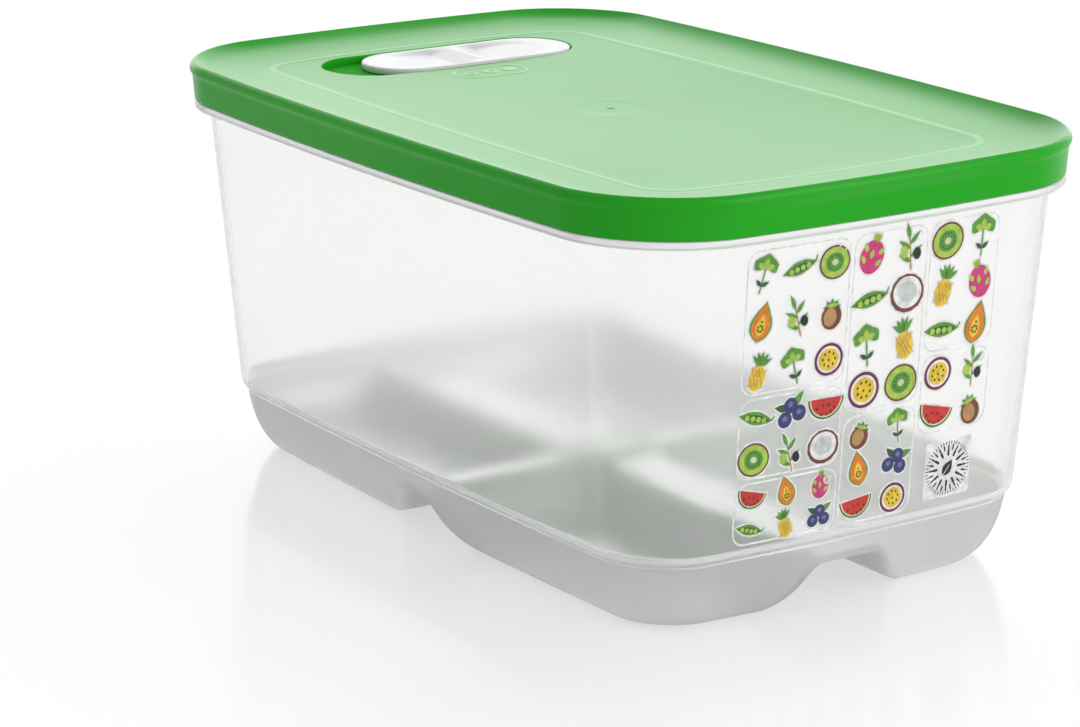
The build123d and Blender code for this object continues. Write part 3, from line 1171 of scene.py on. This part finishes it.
def melon_slice():
    """Half discs of rind, pale edge and flesh, with two rows of seeds."""
    places = (
        -0.24 - 0.10j, -0.08 - 0.03j, 0.08 - 0.03j, 0.24 - 0.10j,
        -0.12 - 0.24j, 0.04 - 0.25j, 0.16 - 0.20j,
    )
    return [
        (slice_of(0.50, 1, 2, 0.18j), ink_deep, 1),
        (slice_of(0.46, 1, 2, 0.18j), ink_pale, 2),
        (slice_of(0.42, 1, 2, 0.18j), ink_red, 3),
        *inked([leaf(0.09, 0.05, at) for at in places], ink_black, 4),
    ]


def pineapple():
    """Oval fruit with slanting lines both ways, under a crown of five leaves."""
    crown = [leaf(0.34, 0.12, 0.13j, turn) for turn in (0.22, 0.36, 0.5, 0.64, 0.78)]
    slants = [
        stem(x - 0.11 - 0.38j + 0.1j * abs(x), x + 0.11 + 0.06j, 0.018) for x in (-0.09, 0.0, 0.09)
    ]
    slants += [-np.conj(slant) for slant in slants]
    fruit = oval(0.44, 0.60, -0.16j)
    return [*inked(crown, ink_leaf, 1), (fruit, ink_yellow, 2), *inked(slants, ink_tan, 3)]


def pea_pod():
    """Long leaf shape with a darker one inside it, four peas and a short stalk."""
    peas = [oval(0.13, 0.13, x - 0.02j) for x in (-0.24, -0.08, 0.08, 0.23)]
    return [
        (leaf(0.96, 0.32, -0.48, 0.0, 1.0), ink_leaf, 1),
        (leaf(0.78, 0.18, -0.38 - 0.01j, 0.0, 1.0), ink_deep, 2),
        *inked(peas, ink_lime, 3),
        (stem(0.44 + 0j, 0.50 + 0.10j, 0.04), ink_leaf, 1),
    ]


def kiwi_slice():
    """Ovals of skin, flesh, inner flesh and core, with a ring of seeds."""
    return [
        (oval(0.86, 0.80), ink_brown, 1),
        (oval(0.77, 0.71), ink_lime, 2),
        (oval(0.50, 0.46), ink_leaf, 3),
        (oval(0.17, 0.15), ink_pale, 4),
        *inked([oval(0.035, 0.035, at) for at in ring_of(14, 0.17)], ink_black, 4),
    ]


def blueberries():
    """Two leaves under three round berries with five-lobed crowns."""
    berries = (-0.2 - 0.12j, 0.2 - 0.1j, 0.02 + 0.16j)
    return [
        (leaf(0.46, 0.2, 0.05 + 0.1j, 0.2), ink_leaf, 1),
        (leaf(0.4, 0.18, -0.05 + 0.1j, 0.85), ink_deep, 1),
        *inked([oval(0.38, 0.38, at) for at in berries], ink_blue, 2),
        *inked([oval(0.14, 0.13, at + 0.03j, 5, 0.25) for at in berries], ink_bloom, 3),
    ]


def olive_sprig():
    """Stalk with five narrow leaves, a black olive and a green one."""
    places = ((-0.3j, 0.80), (-0.2j, 0.18), (-0.02j, 0.78), (0.08j, 0.22), (0.2j, 0.55))
    return [
        (stem(-0.46j, 0.22j, 0.035), ink_tan, 1),
        *inked([leaf(0.36, 0.11, at, turn) for at, turn in places], ink_leaf, 2),
        (oval(0.2, 0.26, 0.17 - 0.16j), ink_black, 3),
        (oval(0.2, 0.26, -0.16 - 0.06j), ink_lime, 3),
    ]


def hazelnut():
    """Brown nut with a lighter face, under a frill of five leaves."""
    frill = [leaf(0.26, 0.13, 0.04j, turn) for turn in (0.08, 0.28, 0.5, 0.72, 0.92)]
    return [
        *inked(frill, ink_leaf, 1),
        (oval(0.56, 0.60, -0.14j), ink_brown, 2),
        (oval(0.36, 0.44, -0.04 - 0.14j), ink_tan, 3),
        (oval(0.30, 0.10, 0.13j), ink_lime, 3),
    ]


def coconut_half():
    """Shaggy brown husk around white flesh and a hollow."""
    return [
        (oval(0.88, 0.82, 0, 23, 0.02), ink_brown, 1),
        (oval(0.74, 0.68, 0.02j), ink_white, 2),
        (oval(0.50, 0.44, 0.03j), ink_milk, 3),
    ]


def papaya_half():
    """Leaf shapes of skin, flesh and hollow, with a ring of seeds and one above it."""
    seeds = [oval(0.05, 0.05, at) for at in [*ring_of(7, 0.07, -0.14j), 0.02j]]
    return [
        (leaf(0.96, 0.60, -0.46j, 0.5, 0.72), ink_leaf, 1),
        (leaf(0.88, 0.50, -0.43j, 0.5, 0.72), ink_orange, 2),
        (leaf(0.52, 0.26, -0.32j, 0.5, 0.75), ink_yellow, 3),
        *inked(seeds, ink_black, 4),
    ]


def clover_sprig():
    """Stalk with two narrow leaves, and three broad ones with light middles."""
    turns = (0.14, 0.5, 0.86)
    return [
        (stem(-0.45j, 0.12j, 0.04), ink_leaf, 1),
        *inked([leaf(0.36, 0.34, 0.10j, turn, 1.5) for turn in turns], ink_leaf, 2),
        *inked([leaf(0.24, 0.14, 0.10j, turn, 1.3) for turn in turns], ink_lime, 3),
        *inked([leaf(0.22, 0.10, -0.3j, turn) for turn in (0.2, 0.8)], ink_deep, 2),
    ]


def dragon_fruit():
    """Pink oval with green scales."""
    places = (
        (-0.16 + 0.02j, 0.66), (0.16 + 0.02j, 0.34), (-0.14 - 0.22j, 0.72), (0.14 - 0.22j, 0.28),
        (-0.02 - 0.1j, 0.5), (0.26j, 0.36), (0.26j, 0.64), (0.24j, 0.5),
    )
    scales = [leaf(0.20, 0.11, at, turn) for at, turn in places]
    return [(oval(0.60, 0.72, -0.06j), ink_pink, 1), *inked(scales, ink_lime, 2)]


def passion_half():
    """Ovals of plum skin, white rind and yellow flesh, with seeds in a ring and at the middle."""
    places = [*ring_of(8, 0.17, -0.03j), -0.05j]
    return [
        (oval(0.80, 0.78), ink_plum, 1),
        (oval(0.66, 0.64), ink_white, 2),
        (oval(0.55, 0.53), ink_yellow, 3),
        *inked([leaf(0.08, 0.05, at) for at in places], ink_black, 4),
    ]


# Each cell of the chart has its left, low, right and high edge in millimetres, its number of
# columns, how far its sign is filled in half turns, and its pictures row by row.
chart_cells = (
    ((-45.0, 71.5, -8.5, 115.0), 3, 0, (
        clover_sprig, pea_pod, kiwi_slice, papaya_half, olive_sprig, hazelnut,
        pineapple, clover_sprig, passion_half)),
    ((-45.0, 46.0, -8.5, 71.0), 3, 1, (
        pea_pod, blueberries, melon_slice, kiwi_slice, olive_sprig, coconut_half)),
    ((-45.0, 26.0, -8.5, 45.5), 3, 2, (
        melon_slice, papaya_half, dragon_fruit, pea_pod, pineapple, blueberries)),
    ((-8.0, 60.5, 19.5, 115.0), 2, 0, (
        dragon_fruit, olive_sprig, pea_pod, coconut_half, clover_sprig, pineapple,
        passion_half, kiwi_slice)),
    ((-8.0, 26.0, 19.5, 60.0), 2, 1, (
        hazelnut, clover_sprig, papaya_half, blueberries, melon_slice, passion_half)),
    ((20.0, 74.5, 47.0, 115.0), 2, 0, (
        kiwi_slice, clover_sprig, pineapple, dragon_fruit, pea_pod, papaya_half)),
    ((20.0, 49.0, 47.0, 74.0), 2, 2, (
        passion_half, olive_sprig, melon_slice, hazelnut)),
)


def signed_area(loop):
    """Twice the area of a loop, negative if it runs clockwise: the sum of x y' - x' y over its
    points and the following ones."""
    following = np.roll(loop, -1)
    return np.sum(loop.real * following.imag - following.real * loop.imag)


def grown(loop, width):
    """Loop moved outwards along its normals, whichever way round it runs."""
    along = np.roll(loop, -1) - np.roll(loop, 1)
    normal = -1j * np.sign(signed_area(loop)) * along / np.maximum(np.abs(along), 1e-9)
    return loop + normal * width


def rounded_box(low, high, corner, count=7):
    """Closed loop of a rounded rectangle between two complex corners: a quarter circle at each."""
    middle, half = (low + high) / 2, (high - low) / 2
    turn = np.linspace(0, pi / 2, count)
    corners = []
    for quarter, sign in enumerate((1 + 1j, -1 + 1j, -1 - 1j, 1 - 1j)):
        at = sign.real * (half.real - corner) + 1j * sign.imag * (half.imag - corner)
        corners.append(middle + at + corner * np.exp(1j * (turn + quarter * pi / 2)))
    return np.concatenate(corners)


print_points = []
print_faces = []
print_inks = []


def print_patch(places, faces, ink, layer):
    """Adds points in one ink and layer to the print, and faces that count from its first point."""
    first = sum(map(len, print_points))
    print_points.append(on_wall(places, print_lift + layer_lift * layer))
    print_inks.append(np.tile((*ink, 1.0), (len(places), 1)))
    print_faces.extend((faces + first).tolist())


def print_fill(loop, ink, layer):
    """Inks the inside of a loop as a fan of triangles about its middle."""
    if signed_area(loop) < 0:
        loop = loop[::-1]
    start = np.arange(len(loop))
    fan = np.stack([start, np.roll(start, -1), np.full(len(loop), len(loop))], axis=1)
    print_patch(np.append(loop, loop.mean()), fan, ink, layer)


def print_line(loop, ink, width, layer):
    """Inks a closed line along a loop as a band of quads between its two edges."""
    start = np.arange(len(loop))
    ahead = np.roll(start, -1)
    band = np.stack([start + len(loop), ahead + len(loop), ahead, start], axis=1)
    edges = np.concatenate([grown(loop, width / 2), grown(loop, -width / 2)])
    print_patch(edges, band, ink, layer)


# Every cell has a white outline, its pictures over white grounds, and a round sign in its upper
# right corner. A picture leans its own way, by a sine of its number and its cell.
for (left, low, right_edge, high), columns, state, pictures in chart_cells:
    corner_low, corner_high = (left + 1j * low) * mm, (right_edge + 1j * high) * mm
    inside = cell_gap * (1 + 1j)
    frame_loop = rounded_box(corner_low + inside, corner_high - inside, cell_corner)
    print_line(frame_loop, ink_white, cell_line, 0)
    rows = len(pictures) // columns
    pitch = ((right_edge - left) / columns + 1j * (high - low) / rows) * mm
    size = min(pitch.real, pitch.imag) * picture_share
    for number, picture in enumerate(pictures):
        row, column = divmod(number, columns)
        at = left * mm + pitch.real * (column + 0.5) + 1j * (high * mm - pitch.imag * (row + 0.5))
        lean = np.exp(1j * picture_lean * np.sin(2.1 * number + left))
        for loop, ink, layer in picture():
            placed = at + loop * lean * size
            print_fill(grown(placed, halo_width), ink_white, 0)
            print_fill(placed, ink, layer)
    sign_at = corner_high - sign_inset
    print_line(oval(sign_size, sign_size, sign_at), ink_white, sign_line, 1)
    if state:
        print_fill(slice_of(sign_size / 2, 1, 1 + state, sign_at), ink_white, 1)

half_dial = dial_size / 2 * (1 + 1j)
dial_ground = rounded_box(dial_middle - half_dial, dial_middle + half_dial, dial_corner)
print_fill(dial_ground, ink_white, 0)
for count, inner, outer, width in dial_rays:
    for way in ring_of(count, mm):
        ray = stem(dial_middle + way * inner, dial_middle + way * outer, width * mm)
        print_fill(ray, ink_black, 1)
print_fill(leaf(dial_leaf_length, dial_leaf_width, dial_leaf_foot, 0.3), ink_black, 1)
print_fill(stem(dial_leaf_foot, dial_leaf_vein, dial_vein_width), ink_white, 2)

print_mesh = bpy.data.meshes.new("side_print")
print_mesh.from_pydata(np.concatenate(print_points), [], print_faces)
ink_layer = print_mesh.color_attributes.new("ink", "FLOAT_COLOR", "POINT")
ink_layer.data.foreach_set("color", np.concatenate(print_inks).ravel())
side_print = in_scene("side_print", print_mesh)


def screen_ink(name):
    """Satin screen ink: the colour of the mesh's ink attribute, slightly mottled."""
    material, link, add = new_material(name)
    body = add("BsdfPrincipled")
    set_inputs(body, Roughness=0.35, IOR=1.48)
    ink = add("Attribute", attribute_name="ink")
    tone = add("MapRange")
    set_inputs(tone, From_Min=0.3, From_Max=0.7, To_Min=0.78, To_Max=1.12)
    link(noise_share(link, add, scale=420.0, detail=3.0), tone.inputs["Value"])
    shade = add("VectorMath", operation="SCALE")
    link(ink.outputs["Color"], shade.inputs[0])
    link(tone.outputs["Result"], shade.inputs["Scale"])
    link(shade.outputs["Vector"], body.inputs["Base Color"])
    to_surface(link, add, body.outputs["BSDF"])
    return material


print_mesh.materials.append(screen_ink("side_print_ink"))
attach(side_print, "tub")


# Studio
# A white glossy table under even soft light: a key lamp from the right, and a low wide lamp
# behind the keeper that mirrors in the lid. Away from the keeper the table fades into white.
table_size = 3.0
table_drop = 0.05 * mm
white_from = 0.11
white_at = 0.28
white_near = 0.45
key_place = (1.25, 0.55, 0.65)
key_aim = (0, 0, 0.06)
key_size = 0.9
key_power = 8.4
back_place = (-1.38, 0.90, 0.745)
back_aim = (0, 0, 0.40)
back_width = 2.6
back_height = 1.45
back_power = 17.4
world_level = 0.49

bpy.ops.mesh.primitive_plane_add(size=table_size, location=(0, 0, -table_drop))
table = bpy.context.object
table.name = "table"


def viewing_rays(link, add):
    """1 for camera, mirrored and transmitted rays, and 0 for the rays that light the keeper."""
    path = add("LightPath")
    share = path.outputs["Is Camera Ray"]
    for kind in ("Is Glossy Ray", "Is Transmission Ray"):
        larger = add("Math", operation="MAXIMUM")
        link(share, larger.inputs[0])
        link(path.outputs[kind], larger.inputs[1])
        share = larger.outputs["Value"]
    return share


def white_table():
    """Glossy white table near the keeper that turns into plain white for the viewing rays."""
    material, link, add = new_material("table_white")
    body = add("BsdfPrincipled")
    set_inputs(body, Base_Color=(0.93, 0.93, 0.93, 1), Roughness=0.16, IOR=1.45)
    distance = add("VectorMath", operation="LENGTH")
    link(add("TexCoord").outputs["Object"], distance.inputs[0])
    fade = add("MapRange", interpolation_type="SMOOTHSTEP")
    set_inputs(fade, From_Min=white_from, From_Max=white_at, To_Min=white_near, To_Max=1.0)
    link(distance.outputs["Value"], fade.inputs["Value"])
    share = add("Math", operation="MULTIPLY")
    link(fade.outputs["Result"], share.inputs[0])
    link(viewing_rays(link, add), share.inputs[1])
    white = add("Emission")
    set_inputs(white, Color=(1, 1, 1, 1), Strength=1.0)
    mix = add("MixShader")
    link(share.outputs["Value"], mix.inputs["Fac"])
    link(body.outputs["BSDF"], mix.inputs[1])
    link(white.outputs["Emission"], mix.inputs[2])
    to_surface(link, add, mix.outputs["Shader"])
    return material


table.data.materials.append(white_table())


def soft_box(name, place, target, power, width, height):
    """Rectangular area lamp at a place, turned towards a target."""
    data = bpy.data.lights.new(name, "AREA")
    data.energy = power
    data.shape = "RECTANGLE"
    data.size = width
    data.size_y = height
    lamp = in_scene(name, data)
    lamp.location = place
    lamp.rotation_euler = (Vector(target) - Vector(place)).to_track_quat("-Z", "Y").to_euler()
    return lamp


soft_box("key_lamp", key_place, key_aim, key_power, key_size, key_size)
back_lamp = soft_box("back_lamp", back_place, back_aim, back_power, back_width, back_height)
back_lamp.visible_camera = False

world = bpy.data.worlds.new("studio")
world.use_nodes = True
bpy.context.scene.world = world
link, add = node_tools(world.node_tree)
level = add("MapRange")
set_inputs(level, To_Min=world_level, To_Max=1.0)
link(viewing_rays(link, add), level.inputs["Value"])
backdrop = add("Background")
set_inputs(backdrop, Color=(1, 1, 1, 1))
link(level.outputs["Result"], backdrop.inputs["Strength"])
link(backdrop.outputs["Background"], add("OutputWorld").inputs["Surface"])
bpy.context.scene.view_settings.view_transform = "Standard"
